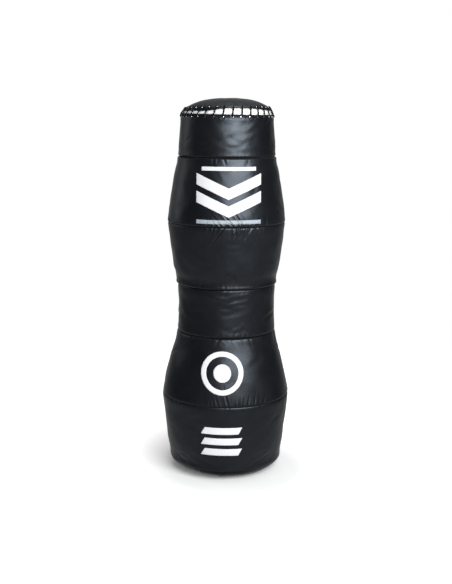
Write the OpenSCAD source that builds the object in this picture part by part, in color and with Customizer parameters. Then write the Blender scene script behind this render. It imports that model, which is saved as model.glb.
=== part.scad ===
// Free-standing stuffed grappling dummy: six sewn leather bands round foam and textile filling,
// with a domed lid laced to the collar. Origin: centre of the underside. +Z up, front towards -Y.

/* [Heights of the seams] */
// Height of the rounded corner under the base band
corner_h = 46; // [30:1:60]
// Height of the seam between the base band and the hip band
hip_seam_z = 256; // [240:1:270]
// Height of the seam between the hip band and the waist band
waist_low_z = 464; // [455:1:475]
// Height of the seam between the waist band and the belly band
waist_top_z = 617; // [610:1:630]
// Height of the seam between the belly band and the chest band
chest_seam_z = 815; // [800:1:830]
// Height of the seam between the chest band and the head band
head_seam_z = 1022; // [1005:1:1035]
// Height of the top of the collar, with its binding
collar_z = 1151; // [1150:1:1152]
// Overall height
overall_h = 1200; // [1199:1:1202]

/* [Radii] */
// Radius of the flat part of the underside
foot_r = 116; // [105:1:130]
// Radius just above the rounded corner
corner_r = 184.5; // [180:0.5:190]
// Radius at the hip seam
hip_r = 206.3; // [200:0.1:210]
// Radius at both seams of the waist band
waist_r = 158.5; // [155:0.1:162]
// Radius at the chest seam
chest_r = 187.5; // [182:0.1:192]
// Radius of the chest band where it meets the head band
shoulder_r = 157; // [156:0.1:160]
// Radius of the head band at its lower seam
neck_r = 155.6; // [153:0.1:156]
// Radius of the collar's edge
collar_r = 144.8; // [144:0.1:146]
// Radius of the lid at its widest
lid_r = 138; // [137.5:0.1:138.5]

/* [Leather, foam and binding] */
// Thickness of the leather cover
skin_t = 1.5; // [1:0.1:2]
// Thickness of the foam wrap behind the leather
foam_t = 12; // [8:1:20]
// Gap between the leather, the foam wrap and the filling
fit_gap = 0.2; // [0.1:0.05:0.4]
// Thickness of a taped seam allowance
tape_t = 3; // [2:0.5:4]
// Height of the edge bindings
binding_h = 2.4; // [2:0.1:3]
// Thickness of the white inner strip
strip_t = 2; // [1:0.1:2.5]
// Thickness of a printed mark
print_t = 0.4; // [0.2:0.1:0.6]

/* [Lacing] */
// Number of eyelets in each ring
eyelets = 36; // [24:2:40]
// Outer radius of an eyelet's flange
eyelet_flange_r = 3.5; // [3.3:0.1:4.5]
// Outer radius of an eyelet's barrel
eyelet_barrel_r = 2.7; // [2.6:0.1:3]
// Radius of an eyelet's hole
eyelet_hole_r = 2.3; // [2.2:0.1:2.4]
// Radius of the lace
lace_r = 1.6; // [1.4:0.1:1.8]
// How far the collar's eyelets are turned from the lid's, as a share of their spacing
lace_lean = 0.24; // [0:0.01:0.4]
// How unevenly the eyelets are spaced: the most degrees that one lies from its even place
eyelet_drift = 8; // [0:0.5:8]

/* [Printed marks] */
// Width of the chest mark
chest_mark_w = 196; // [150:1:220]
// Height of the chest mark
chest_mark_h = 170; // [140:1:180]
// Height of the chest mark's centre
chest_mark_z = 911; // [905:1:920]
// How far the chest mark is off the middle
chest_mark_x = 6; // [-10:1:10]
// Outer radius of the hip mark
hip_mark_r = 66; // [50:1:70]
// Height of the hip mark's centre
hip_mark_z = 361; // [350:1:370]
// How far the hip mark is off the middle
hip_mark_x = -10; // [-15:1:15]
// Width of a bar of the base mark
bar_w = 130; // [100:1:140]
// Height of a bar of the base mark
bar_h = 23; // [15:1:26]
// Spacing of the base mark's three bars
bar_step = 36; // [30:1:38]
// Height of the base mark's centre
base_mark_z = 142; // [135:1:150]
// How far the base mark is off the middle
base_mark_x = -11; // [-15:1:15]

/* [Lid] */
// Angle that the lid leans back on its filling
lid_lean = 2; // [0:0.1:2.2]
// Direction that the lid's raised edge faces, turned from the front
lid_turn = 25; // [-90:5:90]

/* [Waist bend] */
// How far each bending centre lies below its seam
bend_drop = 92; // [85:1:100]
// Running gap between the two sides of a bending face
bend_gap = 0.4; // [0.3:0.1:1]

/* [Hidden] */
$fn = 96;

leather = "#1b1f23";
white_print = "#eef0f2";
foam = "#8d8f8a";
filling = "#7a7266";
tape = "#3a3d40";

// A band's outline: lower and upper height, lower and upper radius, and how far its middle bows out
base_wall = [corner_h, hip_seam_z, corner_r, hip_r, 1];
hip_wall = [hip_seam_z, waist_low_z, hip_r, waist_r, 2];
waist_wall = [waist_low_z, waist_top_z, waist_r, waist_r, -4];
belly_wall = [waist_top_z, chest_seam_z, waist_r, chest_r, 1.8];
chest_wall = [chest_seam_z, head_seam_z, chest_r, shoulder_r, 2];
head_wall = [head_seam_z, collar_z - binding_h, neck_r, collar_r, 0.4];
wall_steps = 6;
arc_steps = 8;
// Depths of the foam wrap and of the filling behind the leather's outside
foam_inset = skin_t + fit_gap;
core_inset = skin_t + foam_t + 2 * fit_gap;
// Room round a seam tape, room behind a print, and how far prints keep from a seam
tape_gap = 0.5;
print_gap = 0.1;
print_margin = 4;
// How far a binding stands out past the leather on each side
binding_lap = 0.4;
// Long enough to pass through any wall, and through the leather at an eyelet
reach = 300;
punch_h = 12;

// Bending centres and the radius of the ball-shaped faces that meet at each waist seam
low_bend_z = waist_low_z - bend_drop;
top_bend_z = waist_top_z - bend_drop;
bend_r = sqrt(waist_r * waist_r + bend_drop * bend_drop);
// Heights just over the tops of both ball-shaped faces
low_ball_top = low_bend_z + bend_r + 1;
top_ball_top = top_bend_z + bend_r + 1;

// The lid is a dome. Its own heights are counted from the level of its edge.
lid_base_z = 1164;
lid_rise = overall_h - lid_base_z;
lid_rim = 1.4;
// Powers that shape the dome's section: full in the middle, and steep at the edge
lid_full = 2.8;
lid_steep = 0.85;
lid_pad_low = 13.5;
lid_pad_gap = 0.6;
lid_eyelet_up = 6.5;
collar_eyelet_z = collar_z - 7;
pitch = 360 / eyelets;
// Proportions of the printed marks
bar_slant = 12;
edge_bar_h = chest_mark_h * 0.07;
arrow_drop = chest_mark_h * 0.26;
arrow_stroke = chest_mark_h * 0.2;
arrow_step = chest_mark_h * 0.31;
arrow_top = chest_mark_h * 0.385;
edge_bar_w = chest_mark_w * 0.84;
hip_ring_in = hip_mark_r * 0.76;
hip_disc_r = hip_mark_r * 0.42;
// Outline of the inner strip's outside: straight inside the collar, then in under the lid
strip_low_z = 1100;
strip_line = [
    [139, strip_low_z], [139, 1143], [138.5, 1150], [135, 1154], [131, 1157], [127, 1159], [121, 1160]];

// Radius of a wall at height z
function wall_r(w, z) = let(u = (z - w[0]) / (w[1] - w[0])) w[2] + (w[3] - w[2]) * u + 4 * w[4] * u * (1 - u);
// Points up a wall between two heights, moved inwards by inset
function wall_line(w, inset, z0, z1) =
    [for (i = [0:wall_steps]) let(z = z0 + (z1 - z0) * i / wall_steps) [wall_r(w, z) - inset, z]];
function whole_wall(w, inset) = wall_line(w, inset, w[0], w[1]);
function backwards(list) = [for (i = [len(list) - 1:-1:0]) list[i]];
function after_first(list) = [for (i = [1:len(list) - 1]) list[i]];
// Quarter ellipse of the rounded corner, from the underside up to the wall
function corner_line(inset) = [for (i = [0:arc_steps]) let(a = 90 * i / arc_steps)
    [foot_r + (corner_r - foot_r - inset) * sin(a), corner_h - (corner_h - inset) * cos(a)]];
// Radius of a dome at a height up from its edge, given the dome's own radius and rise
function dome_r(r, rise, up) = r * pow(1 - pow(up / rise, 1 / lid_steep), 1 / lid_full);
function lid_wall_r(up) = dome_r(lid_r, lid_rise, up);
// Points over the lid from a height up to its axis, moved inwards by inset
function lid_line(inset, up) = let(n = 2 * arc_steps, rise = lid_rise - inset)
    [for (i = [0:n]) let(z = up + (rise - up) * sin(90 * i / n)) [dome_r(lid_r - inset, rise, z), z]];
// The strip's outline moved inwards by inset
function strip_wall(inset) = [for (p = strip_line) [p[0] - inset, p[1]]];

module turned(points) rotate_extrude() polygon(points);

module ring(r_in, r_out, z0, z1) turned([[r_in, z0], [r_out, z0], [r_out, z1], [r_in, z1]]);

// A sewn layer of the given thickness that follows a wall, under another layer of depth inset
module layer(w, inset, thick, z0, z1)
    turned(concat(wall_line(w, inset, z0, z1), backwards(wall_line(w, inset + thick, z0, z1))));

module low_ball(extra = 0) translate([0, 0, low_bend_z]) sphere(r = bend_r + extra);
module top_ball(extra = 0) translate([0, 0, top_bend_z]) sphere(r = bend_r + extra);

// Inner and outer radius of a seam tape behind a wall of radius r
function tape_in(r) = r - skin_t - foam_t + tape_gap;
function tape_out(r) = r - skin_t - tape_gap;

// A ring of taped seam allowance, its middle at height z
module seam_tape(z, r_in, r_out) color(tape) ring(r_in, r_out, z - tape_t / 2, z + tape_t / 2);

// A flat outline pressed on the front of a wall, centred at x, z
module pressed_print(w, x, z) intersection() {
    layer(w, -print_gap - print_t, print_t, w[0] + print_margin, w[1] - print_margin);
    translate([x, 0, z]) rotate([90, 0, 0]) linear_extrude(height = reach) children();
}

// Base and hips

module base_panel() color(leather) cylinder(r = foot_r, h = skin_t);

module base_pad() color(foam) turned(concat([[0, skin_t]], corner_line(skin_t), [[0, corner_h]]));

module base_band() color(leather) turned(concat(
    corner_line(0),
    after_first(whole_wall(base_wall, 0)),
    backwards(whole_wall(base_wall, skin_t)),
    after_first(backwards(corner_line(skin_t)))));

module base_foam_wrap() color(foam)
    layer(base_wall, foam_inset, foam_t, corner_h, hip_seam_z - tape_t / 2);

// One slanting bar
module bar() polygon([[-bar_w / 2, -bar_h / 2], [bar_w / 2 - bar_slant, -bar_h / 2],
    [bar_w / 2, bar_h / 2], [bar_slant - bar_w / 2, bar_h / 2]]);

module base_print() color(white_print) pressed_print(base_wall, base_mark_x, base_mark_z)
    for (i = [-1:1]) translate([0, i * bar_step]) bar();

module hip_seam_tape() seam_tape(hip_seam_z, tape_in(hip_r), tape_out(hip_r));

module hip_band() color(leather) layer(hip_wall, 0, skin_t, hip_seam_z, waist_low_z);

module hip_foam_wrap() color(foam)
    layer(hip_wall, foam_inset, foam_t, hip_seam_z + tape_t / 2, waist_low_z - tape_t);

module hip_print() color(white_print) pressed_print(hip_wall, hip_mark_x, hip_mark_z) {
    difference() {
        circle(r = hip_mark_r);
        circle(r = hip_ring_in);
    }
    circle(r = hip_disc_r);
}

module waist_low_seam_tape()
    seam_tape(waist_low_z - tape_t / 2, tape_in(wall_r(hip_wall, waist_low_z - tape_t)), tape_out(waist_r));

module lower_filling() color(filling) intersection() {
    turned(concat(
        [[0, corner_h]],
        wall_line(base_wall, core_inset, corner_h, hip_seam_z),
        after_first(wall_line(hip_wall, core_inset, hip_seam_z, waist_low_z - tape_t)),
        [[waist_r - core_inset, waist_low_z], [waist_r - skin_t, waist_low_z],
            [waist_r - skin_t, low_ball_top], [0, low_ball_top]]));
    union() {
        low_ball();
        cylinder(r = reach, h = low_bend_z);
    }
}

// Waist

module waist_band() color(leather) difference() {
    layer(waist_wall, 0, skin_t, waist_low_z, waist_top_z);
    low_ball(bend_gap);
}

module waist_foam_wrap() color(foam) difference() {
    layer(waist_wall, foam_inset, foam_t, waist_low_z, waist_top_z - tape_t);
    low_ball(bend_gap);
}

module waist_top_seam_tape() seam_tape(waist_top_z - tape_t / 2, tape_in(waist_r), tape_out(waist_r));

module waist_filling() color(filling) difference() {
    intersection() {
        turned(concat(
            [[0, waist_low_z]],
            wall_line(waist_wall, core_inset, waist_low_z, waist_top_z - tape_t),
            [[waist_r - core_inset, waist_top_z], [waist_r - skin_t, waist_top_z],
                [waist_r - skin_t, top_ball_top], [0, top_ball_top]]));
        top_ball();
    }
    low_ball(bend_gap);
}

// Belly, chest and head

module belly_band() color(leather) difference() {
    layer(belly_wall, 0, skin_t, waist_top_z, chest_seam_z);
    top_ball(bend_gap);
}

module belly_foam_wrap() color(foam) difference() {
    layer(belly_wall, foam_inset, foam_t, waist_top_z, chest_seam_z - tape_t / 2);
    top_ball(bend_gap);
}

module chest_seam_tape() seam_tape(chest_seam_z, tape_in(chest_r), tape_out(chest_r));

module chest_band() color(leather) layer(chest_wall, 0, skin_t, chest_seam_z, head_seam_z);

module chest_foam_wrap() color(foam)
    layer(chest_wall, foam_inset, foam_t, chest_seam_z + tape_t / 2, head_seam_z - tape_t / 2);

// A wide arrowhead pointing down, its arms' upper ends at y = 0
module arrowhead() polygon([[-chest_mark_w / 2, 0], [0, -arrow_drop], [chest_mark_w / 2, 0],
    [chest_mark_w / 2, -arrow_stroke], [0, -arrow_drop - arrow_stroke], [-chest_mark_w / 2, -arrow_stroke]]);

module chest_print() color(white_print) pressed_print(chest_wall, chest_mark_x, chest_mark_z) {
    translate([0, (chest_mark_h - edge_bar_h) / 2]) square([edge_bar_w, edge_bar_h], center = true);
    for (i = [0:1]) translate([0, arrow_top - i * arrow_step]) arrowhead();
}

module chest_print_bar() color("#9aa3ab") pressed_print(chest_wall, chest_mark_x, chest_mark_z)
    translate([0, (edge_bar_h - chest_mark_h) / 2]) square([chest_mark_w, edge_bar_h], center = true);

module head_seam_tape() seam_tape(head_seam_z, tape_in(shoulder_r), tape_out(neck_r));

module head_band() color(leather) difference() {
    layer(head_wall, 0, skin_t, head_seam_z, collar_z - binding_h);
    at_collar_eyelets() cylinder(r = eyelet_barrel_r, h = punch_h, center = true, $fn = 32);
}

module head_foam_wrap() color(foam)
    layer(head_wall, foam_inset, foam_t, head_seam_z + tape_t / 2, strip_low_z);

module upper_filling() color(filling) difference() {
    turned(concat(
        [[0, waist_top_z]],
        wall_line(belly_wall, core_inset, waist_top_z, chest_seam_z),
        after_first(wall_line(chest_wall, core_inset, chest_seam_z, head_seam_z)),
        wall_line(head_wall, core_inset, head_seam_z, strip_low_z),
        strip_wall(strip_t),
        [[0, strip_line[len(strip_line) - 1][1]]]));
    top_ball(bend_gap);
}

module inner_strip() color("white") turned(concat(strip_wall(0), backwards(strip_wall(strip_t))));

module collar_binding() color(leather)
    ring(collar_r - skin_t - binding_lap, collar_r + binding_lap, collar_z - binding_h, collar_z);

// Lacing

// Slope of the surface at an eyelet, as the angle that its axis rises above level
slope_step = 0.5;
lid_slope = atan((lid_wall_r(lid_eyelet_up - slope_step) - lid_wall_r(lid_eyelet_up + slope_step))
    / (2 * slope_step));
collar_slope = atan((neck_r - collar_r) / (collar_z - head_seam_z));
lid_eyelet_r = lid_wall_r(lid_eyelet_up);
collar_eyelet_r = wall_r(head_wall, collar_eyelet_z);

// Direction of a place at spacing i, closer together at the back than at the front
drift_turn = 70;
function turn_at(i) = i * pitch + eyelet_drift * sin(i * pitch + drift_turn);

// Places its children at every eyelet of a ring, with +Z along the eyelet's axis, outwards
module at_eyelets(r, z, slope, turn) for (i = [0:eyelets - 1])
    rotate([0, 0, turn_at(i + turn)]) translate([r, 0, z]) rotate([0, 90 - slope, 0]) children();
module at_collar_eyelets() at_eyelets(collar_eyelet_r, collar_eyelet_z, collar_slope, -lace_lean) children();
module at_lid_eyelets() at_eyelets(lid_eyelet_r, lid_eyelet_up, lid_slope, 0) children();

// Puts the lid's pieces in place, leaning back
module lid_place() translate([0, 0, lid_base_z])
    rotate([0, 0, lid_turn]) rotate([-lid_lean, 0, 0]) rotate([0, 0, -lid_turn]) children();

// Heights over the leather of a flange's underside, its edge and its top, and how far its edge is sloped
flange_low = 0.15;
flange_edge = 0.7;
flange_top = 0.9;
flange_slope = 0.3;

// A flanged tube, its flange just proud of the leather
module eyelet() turned([
    [eyelet_hole_r, -skin_t],
    [eyelet_barrel_r, -skin_t],
    [eyelet_barrel_r, flange_low],
    [eyelet_flange_r, flange_low],
    [eyelet_flange_r - flange_slope, flange_edge],
    [eyelet_hole_r, flange_top]]);

module collar_eyelets() color("silver") at_collar_eyelets() eyelet($fn = 32);
module lid_eyelets() color("silver") lid_place() at_lid_eyelets() eyelet($fn = 32);

// The lace runs up and down over the gap and sideways behind the leather, from eyelet to eyelet.
// A point at spacing i, at radius r and height z
function round_point(i, r, z) = [r * cos(turn_at(i)), r * sin(turn_at(i)), z];
// A point of the lid, leaned back with it
function on_lid(p) = let(u = [cos(lid_turn), sin(lid_turn), 0], along = u * (u * p) * (1 - cos(lid_lean)))
    [0, 0, lid_base_z] + p * cos(lid_lean) - cross(u, p) * sin(lid_lean) + along;
// Points d outwards from the middle of an eyelet
function lid_point(i, d) =
    on_lid(round_point(i, lid_eyelet_r + d * cos(lid_slope), lid_eyelet_up + d * sin(lid_slope)));
function collar_point(i, d) = round_point(
    i - lace_lean, collar_eyelet_r + d * cos(collar_slope), collar_eyelet_z + d * sin(collar_slope));
lace_out = 4;
lace_in = -3.6;
// Where a strand passes over the edges of the lid and the collar: share of the lean, radius and height
rim_share = 0.3;
rim_gap = 1.6;
rim_r = lid_wall_r(lid_rim) + lace_r + rim_gap;
rim_up = lid_rim + 1;
edge_share = 0.8;
edge_gap = 1.6;
edge_r = collar_r + lace_r + edge_gap;
edge_z = collar_z + 1;
// One strand over the gap, from inside the lid to inside the collar, clear of both edges
function strand(i) =
    let(
        rim = on_lid(round_point(i - lace_lean * rim_share, rim_r, rim_up)),
        edge = round_point(i - lace_lean * edge_share, edge_r, edge_z))
    [lid_point(i, lace_in), lid_point(i, lace_out), rim,
        edge, collar_point(i, lace_out), collar_point(i, lace_in)];
lace_route = [for (i = [0:2:eyelets - 2]) each concat(
    strand(i), [round_point(i + 0.5 - lace_lean, collar_eyelet_r + lace_in, collar_eyelet_z)],
    backwards(strand(i + 1)), [(lid_point(i + 1, lace_in) + lid_point(i + 2, lace_in)) / 2])];
lace_sides = 6;

function unit(v) = v / norm(v);
// A closed tube along a closed route, its section kept square to the route
function tube_points(route, r, sides) = [for (i = [0:len(route) - 1])
    let(n = len(route), t = unit(route[(i + 1) % n] - route[(i + n - 1) % n]),
        u = unit(cross(t, [-route[i][1], route[i][0], 0])), v = cross(t, u))
    for (k = [0:sides - 1]) route[i] + r * (u * cos(360 * k / sides) + v * sin(360 * k / sides))];
// Two triangles for each side of each stretch
function tube_faces(n, sides) = [for (i = [0:n - 1], k = [0:sides - 1])
    let(
        j = (i + 1) % n,
        m = (k + 1) % sides,
        a = i * sides + k,
        b = j * sides + k,
        c = j * sides + m,
        d = i * sides + m)
    each [[a, b, c], [a, c, d]]];

module lace() color("#15171a")
    polyhedron(tube_points(lace_route, lace_r, lace_sides), tube_faces(len(lace_route), lace_sides));

// Lid

module lid_cover() color(leather) lid_place() difference() {
    turned(concat(lid_line(0, lid_rim), backwards(lid_line(skin_t, lid_rim))));
    at_lid_eyelets() cylinder(r = eyelet_barrel_r, h = punch_h, center = true, $fn = 32);
}

module lid_pad() color(foam) lid_place()
    turned(concat([[0, lid_pad_low]], lid_line(skin_t + lid_pad_gap, lid_pad_low)));

module lid_binding() color(leather) lid_place()
    ring(lid_wall_r(lid_rim) - skin_t, lid_wall_r(lid_rim) + binding_lap, lid_rim - binding_h, lid_rim);

base_panel();
base_pad();
base_band();
base_foam_wrap();
base_print();
hip_seam_tape();
hip_band();
hip_foam_wrap();
hip_print();
waist_low_seam_tape();
lower_filling();
waist_band();
waist_foam_wrap();
waist_top_seam_tape();
waist_filling();
belly_band();
belly_foam_wrap();
chest_seam_tape();
chest_band();
chest_foam_wrap();
chest_print();
chest_print_bar();
head_seam_tape();
head_band();
head_foam_wrap();
upper_filling();
inner_strip();
collar_binding();
collar_eyelets();
lace();
lid_cover();
lid_pad();
lid_binding();
lid_eyelets();
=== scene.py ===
"""The looks of a stuffed grappling dummy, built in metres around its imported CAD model."""
import math

import bmesh
import bpy
import numpy as np
from mathutils import Matrix, Vector


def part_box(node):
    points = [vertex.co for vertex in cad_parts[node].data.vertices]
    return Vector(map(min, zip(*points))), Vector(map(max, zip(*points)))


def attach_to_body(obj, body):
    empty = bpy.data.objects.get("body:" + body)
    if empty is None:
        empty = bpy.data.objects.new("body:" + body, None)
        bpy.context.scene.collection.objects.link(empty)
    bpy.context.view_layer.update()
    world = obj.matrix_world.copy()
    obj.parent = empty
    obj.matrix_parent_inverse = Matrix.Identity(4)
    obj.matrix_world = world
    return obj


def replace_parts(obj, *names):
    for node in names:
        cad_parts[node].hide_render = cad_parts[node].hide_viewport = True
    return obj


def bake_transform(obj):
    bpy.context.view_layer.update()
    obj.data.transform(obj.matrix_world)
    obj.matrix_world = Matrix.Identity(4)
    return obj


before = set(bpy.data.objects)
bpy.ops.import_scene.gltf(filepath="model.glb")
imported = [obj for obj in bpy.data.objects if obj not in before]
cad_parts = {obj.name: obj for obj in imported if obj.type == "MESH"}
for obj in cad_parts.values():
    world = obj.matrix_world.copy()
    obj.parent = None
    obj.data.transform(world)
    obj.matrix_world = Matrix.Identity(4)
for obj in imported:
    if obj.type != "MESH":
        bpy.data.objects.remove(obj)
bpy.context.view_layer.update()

MM = 0.001
AROUND = 420  # columns round a leather band
ROW = 3.2 * MM  # spacing of a leather band's rows
FULL_RING = 40  # the fewest vertices in a whole ring of a turned CAD node
FRONT = -math.pi / 2  # the angle that faces the camera, at -Y
BACK = math.pi / 2  # where each band's own closing seam is
SEAM_DEPTH, SEAM_ROLL = 3.4 * MM, 5.5 * MM  # the leather's tight roll into a seam
SOFT_DEPTH, SOFT_ROLL = 1.1 * MM, 16 * MM  # and its wide, shallow one


# Measures of the CAD model

def cad_points(node):
    return np.array([vertex.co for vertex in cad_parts[node].data.vertices])


def full_rings(node):
    """Heights of a turned node's full rings of vertices, and the outer radius of each."""
    points = cad_points(node)
    heights = np.round(points[:, 2], 4)
    radii = np.hypot(points[:, 0], points[:, 1])
    levels, counts = np.unique(heights, return_counts=True)
    levels = levels[counts >= FULL_RING]
    return levels, np.array([radii[heights == level].max() for level in levels])


def wall_line(node, above=-1.0):
    """Radius and height up a turned node's wall, on a smooth curve through its full rings."""
    heights, radii = full_rings(node)
    keep = heights >= above
    curve = np.poly1d(np.polyfit(heights[keep], radii[keep], 2))
    return [(curve(z), z) for z in np.linspace(heights[keep][0], heights[-1], 40)]


def low(node):
    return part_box(node)[0].z


def high(node):
    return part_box(node)[1].z


def size_of(node):
    """The size of a node's box, and its middle."""
    corner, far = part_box(node)
    return far - corner, (corner + far) / 2


CORNER_H = low("base_foam_wrap")
FOOT_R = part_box("base_panel")[1].x
HIP_SEAM = low("hip_band")
WAIST_LOW = high("hip_band")
WAIST_TOP = high("waist_band")
WAIST_MID = (WAIST_LOW + WAIST_TOP) / 2
CHEST_SEAM = low("chest_band")
HEAD_SEAM = low("head_band")
COLLAR_TOP = high("collar_binding")

# The bodies on each side of the two waist joints, and heights between them. The pieces are not bent over
# them.
HIP_BEND = ("hips", "waist", 0.33, WAIST_MID)
TORSO_BEND = ("waist", "torso", WAIST_MID, 0.745)


# Mesh building

def in_scene(name, data):
    made = bpy.data.objects.new(name, data)
    bpy.context.scene.collection.objects.link(made)
    return made


def new_mesh(name, points, faces, material):
    mesh = bpy.data.meshes.new(name)
    mesh.from_pydata([tuple(p) for p in points], [], faces)
    mesh.update()
    mesh.shade_smooth()
    mesh.materials.append(material)
    return in_scene(name + "_made", mesh)


def merge_points(piece):
    """Joins points that lie on each other, such as those on the axis."""
    work = bmesh.new()
    work.from_mesh(piece.data)
    bmesh.ops.remove_doubles(work, verts=work.verts, dist=1e-6)
    bmesh.ops.dissolve_degenerate(work, edges=work.edges, dist=1e-7)
    bmesh.ops.recalc_face_normals(work, faces=work.faces)
    work.to_mesh(piece.data)
    work.free()


def grid_faces(rows, columns, closed, start=0):
    """Quads of a grid, outward when rows go up and columns go anticlockwise."""
    last = columns if closed else columns - 1
    i, j = np.meshgrid(np.arange(rows - 1), np.arange(last), indexing="ij")
    k = (j + 1) % columns
    quads = np.stack([i * columns + j, i * columns + k, (i + 1) * columns + k, (i + 1) * columns + j], -1)
    return (quads.reshape(-1, 4) + start).tolist()


def cap_faces(start, count, tip):
    """Triangles from a closed row of points, the first of them at start, to one point."""
    return [[start + j, start + (j + 1) % count, tip] for j in range(count)]


def even_turn(count):
    """Angles of so many columns, evenly round the axis."""
    return np.arange(count) * 2 * math.pi / count


def turned_points(radii, heights, angles):
    """Rows and columns of points, from radii and heights of that shape."""
    return np.stack([radii * np.cos(angles), radii * np.sin(angles), heights + 0 * radii], -1)


def spaced_line(points, step):
    """A line's points spaced evenly, and how far along it each is."""
    points = np.array(points, float)
    reach = np.r_[0, np.cumsum(np.linalg.norm(np.diff(points, axis=0), axis=1))]
    at = np.linspace(0, reach[-1], max(3, int(round(reach[-1] / step)) + 1))
    return np.stack([np.interp(at, reach, points[:, i]) for i in range(2)], -1), at


def normals_of(line):
    """Outward normals of a line of radius and height that runs upwards."""
    slope = np.gradient(line, axis=0)
    slope /= np.linalg.norm(slope, axis=1)[:, None]
    return np.stack([slope[:, 1], -slope[:, 0]], -1)


COLUMNS = even_turn(AROUND)


def outwards(points):
    """Level unit vectors away from the axis."""
    flat = points * [1, 1, 0]
    return flat / np.linalg.norm(flat, axis=1)[:, None]


def wrapped(angle):
    return (angle + math.pi) % (2 * math.pi) - math.pi


def angle_of(place):
    return math.atan2(place[1], place[0])


def bell(distance, width):
    return np.exp(-((distance / width) ** 2))


def lumps(angles, heights, size, count=14, seed=1, turns_from=1, turns_to=9, climb_to=45):
    """Soft unevenness of a filled cover: waves that join up round the body."""
    draw = np.random.default_rng(seed)
    total = 0 * angles * heights
    for _ in range(count):
        turns = draw.integers(turns_from, turns_to)
        climb = draw.uniform(-climb_to, climb_to)
        phase = draw.uniform(0, 2 * math.pi)
        total = total + np.sin(turns * angles + climb * heights + phase) / math.sqrt(turns / turns_from)
    return size * total / math.sqrt(count)


def seam_roll(distance, depth=SEAM_DEPTH, roll=SEAM_ROLL):
    """How far the leather rolls in towards a seam, by its distance from it."""
    share = np.clip(1 - distance / roll, 0, 1)
    return -depth * (1 - np.sqrt(np.clip(1 - share**2, 0, 1)))


def pucker(angles, distance, radius, at, size, width, length, slant):
    """One crease that starts at a seam and fades away from it, with a raised lip on each side."""
    across = wrapped(angles - at) * radius - slant * distance
    fade = bell(distance, length) * (0.35 + 0.65 * np.clip(distance / (4 * MM), 0, 1))
    lips = 0.6 * bell(np.abs(across) - 1.9 * width, 1.1 * width)
    return size * (lips - bell(across, width)) * fade


def puckers(angles, distance, radius, seed, scale=1.0, reach=1.0, chosen=(), count=54):
    """The creases along one side of a seam: small ones all round, and the chosen larger ones.

    Each chosen one has degrees from the front, size, width and length in millimetres, and slant.
    """
    draw = np.random.default_rng(seed)
    total = 0 * angles * distance
    for i in range(count):
        at = (i + draw.uniform(-0.45, 0.45)) * 2 * math.pi / count
        size = scale * draw.gamma(1.5, 0.36) * MM
        width = draw.uniform(2.2, 5.0) * MM
        length = reach * draw.uniform(8, 26) * MM
        slant = draw.normal(0, 0.35)
        total += pucker(angles, distance, radius, at, size, width, length, slant)
    for degrees, size, width, length, slant in chosen:
        at = FRONT + math.radians(degrees)
        total += pucker(angles, distance, radius, at, size * MM, width * MM, length * MM, slant)
    return total


def crease(angles, heights, radius, place, length, turn, bow, width, depth):
    """One drag line in the leather.

    place is degrees from the front and a height in metres. turn is degrees from level, and bow is
    how far the ends curve, in widths. length, width and depth are in millimetres.
    """
    across = wrapped(angles - FRONT - math.radians(place[0])) * radius
    up = heights - place[1]
    level, steep = math.cos(math.radians(turn)), math.sin(math.radians(turn))
    along = (across * level + up * steep) / (length * MM / 2)
    off = (up * level - across * steep) / (width * MM) - bow * along**2
    fade = np.exp(-(along**4)) * bell(np.clip(np.abs(along) - 1, 0, None), 1)
    line = 0.6 * bell(off - 2.0, 1.3) + 0.25 * bell(off + 2.0, 1.3) - bell(off, 1)
    return depth * MM * line * fade


def drag_lines(angles, heights, radius, seed, count, depth=0.45):
    """Creases scattered over a whole band, mostly level."""
    draw = np.random.default_rng(seed)
    low_z, high_z = heights.min() + 15 * MM, heights.max() - 15 * MM
    total = 0 * angles * heights
    for _ in range(count):
        place = (draw.uniform(-180, 180), draw.uniform(low_z, high_z))
        length, turn = draw.uniform(24, 85), draw.normal(0, 22)
        bow, width = draw.normal(0, 1.2), draw.uniform(3.5, 8)
        size = depth * draw.gamma(2.0, 0.5)
        total += crease(angles, heights, radius, place, length, turn, bow, width, size)
    return total


# Materials

def new_material(name):
    material = bpy.data.materials.new(name)
    material.use_nodes = True
    tree = material.node_tree
    return material, tree, tree.nodes["Principled BSDF"]


def feed(tree, node, **values):
    """Sets a node's inputs and settings, or links an input to the output it is given."""
    for key, value in values.items():
        name = key.replace("_", " ")
        if isinstance(value, bpy.types.NodeSocket):
            tree.links.new(value, node.inputs[name])
        elif name in node.inputs:
            node.inputs[name].default_value = value
        else:
            setattr(node, key, value)
    return node


def add(tree, kind, **values):
    return feed(tree, tree.nodes.new("ShaderNode" + kind), **values)


def noise(tree, place, scale, detail=4.0, rough=0.55):
    return add(tree, "TexNoise", Vector=place, Scale=scale, Detail=detail, Roughness=rough).outputs["Fac"]


def cells(tree, place, scale, **settings):
    return add(tree, "TexVoronoi", Vector=place, Scale=scale, **settings).outputs["Distance"]


def ramp(tree, value, stops):
    """A colour or grey value by stops of (place, colour)."""
    node = add(tree, "ValToRGB", Fac=value)
    marks = node.color_ramp.elements
    while len(marks) < len(stops):
        marks.new(0.5)
    for mark, (place, colour) in zip(marks, stops):
        mark.position = place
        mark.color = (*colour, 1) if len(colour) == 3 else (colour[0],) * 3 + (1,)
    return node.outputs["Color"]


def remap(tree, value, low_out, high_out, low_in=0.3, high_in=0.7):
    return add(tree, "MapRange", Value=value, From_Min=low_in, From_Max=high_in,
               To_Min=low_out, To_Max=high_out).outputs["Result"]


def joined(tree, operation, first, second):
    made = add(tree, "Math", operation=operation)
    tree.links.new(first, made.inputs[0])
    tree.links.new(second, made.inputs[1])
    return made.outputs["Value"]


def bump(tree, height, distance, strength=1.0, **under):
    made = add(tree, "Bump", Height=height, Distance=distance, Strength=strength, **under)
    return made.outputs["Normal"]


def object_place(tree):
    return add(tree, "TexCoord").outputs["Object"]


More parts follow.
